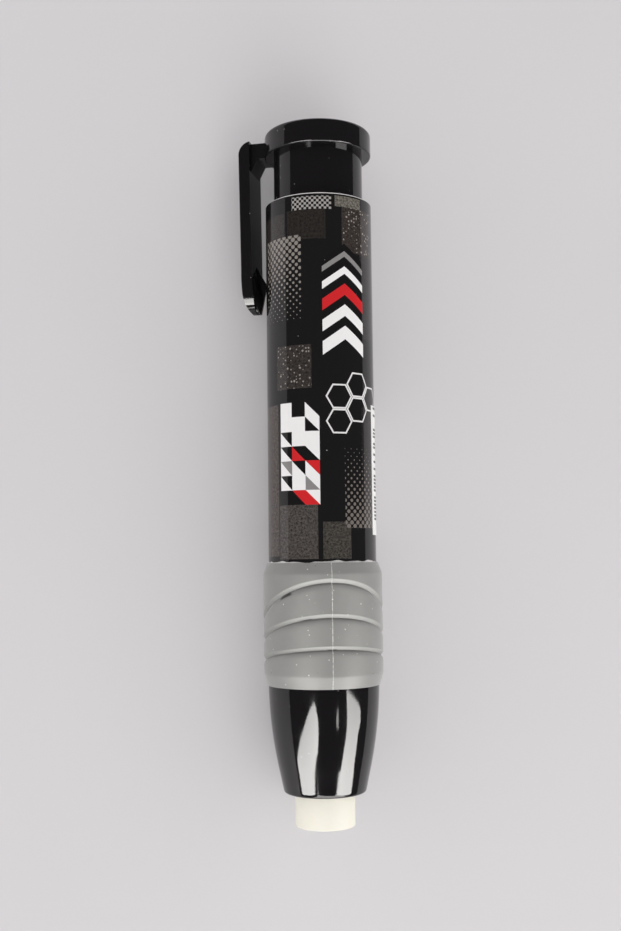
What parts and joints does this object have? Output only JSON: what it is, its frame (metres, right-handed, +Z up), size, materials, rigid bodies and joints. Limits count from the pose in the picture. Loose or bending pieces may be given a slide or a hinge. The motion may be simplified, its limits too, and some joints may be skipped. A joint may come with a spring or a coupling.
{
  "type": "push-button eraser stick",
  "caption": "Pen-shaped push-button eraser holder with a round eraser stick, rubber grip and pocket clip.",
  "frame": {"origin": "centre of the eraser stick's flat tip, on the pen's axis", "axes": "+Y along the pen's axis from the tip to the push cap, +Z up as the pen lies on a table, -X on the clip's side"},
  "size_m": [0.0234, 0.1172, 0.02],
  "materials": {
    "eraser": "soft matt ivory-white eraser compound",
    "black_gloss": "polished black moulding",
    "drag_rubber": "matt moulded rubber",
    "barrel_white": "white moulded tube",
    "film": "glossy printed film in black and greys",
    "label": "smooth white label paper",
    "grip": "matt grey moulded rubber",
    "housing_metal": "drawn steel cup",
    "ring_brass": "turned brass",
    "collet_plastic": "natural moulded plastic",
    "tube_plastic": "white extruded plastic",
    "spring_steel": "drawn spring wire"
  },
  "bodies": {
    "holder": {"barrel": "barrel_white", "printed_film": "film", "blank_label": "label", "grip_sleeve": "grip", "nose_cone": "black_gloss", "drag_ring": "drag_rubber", "clutch_housing": "housing_metal", "return_spring": "spring_steel"},
    "plunger": {"push_cap": "black_gloss", "feed_tube": "tube_plastic", "collet": "collet_plastic"},
    "clutch": {"clutch_ring": "ring_brass"},
    "stick": {"eraser_stick": "eraser"}
  },
  "joints": [
    {"name": "push_slide", "type": "slide", "parent": "holder", "child": "plunger", "axis": [0, -1, 0], "range_m": [0, 0.0065], "stiffness_N_per_m": 600, "springref_m": -0.004, "deforming": ["return_spring"]},
    {"name": "clutch_slide", "type": "slide", "parent": "holder", "child": "clutch", "axis": [0, -1, 0], "range_m": [0, 0.003]},
    {"name": "eraser_feed", "type": "slide", "parent": "clutch", "child": "stick", "axis": [0, -1, 0], "range_m": [-0.005, 0.015]}
  ],
  "couplings": [
    {"joint": "clutch_slide", "follows": "push_slide", "ratio": 0.46154}
  ]
}
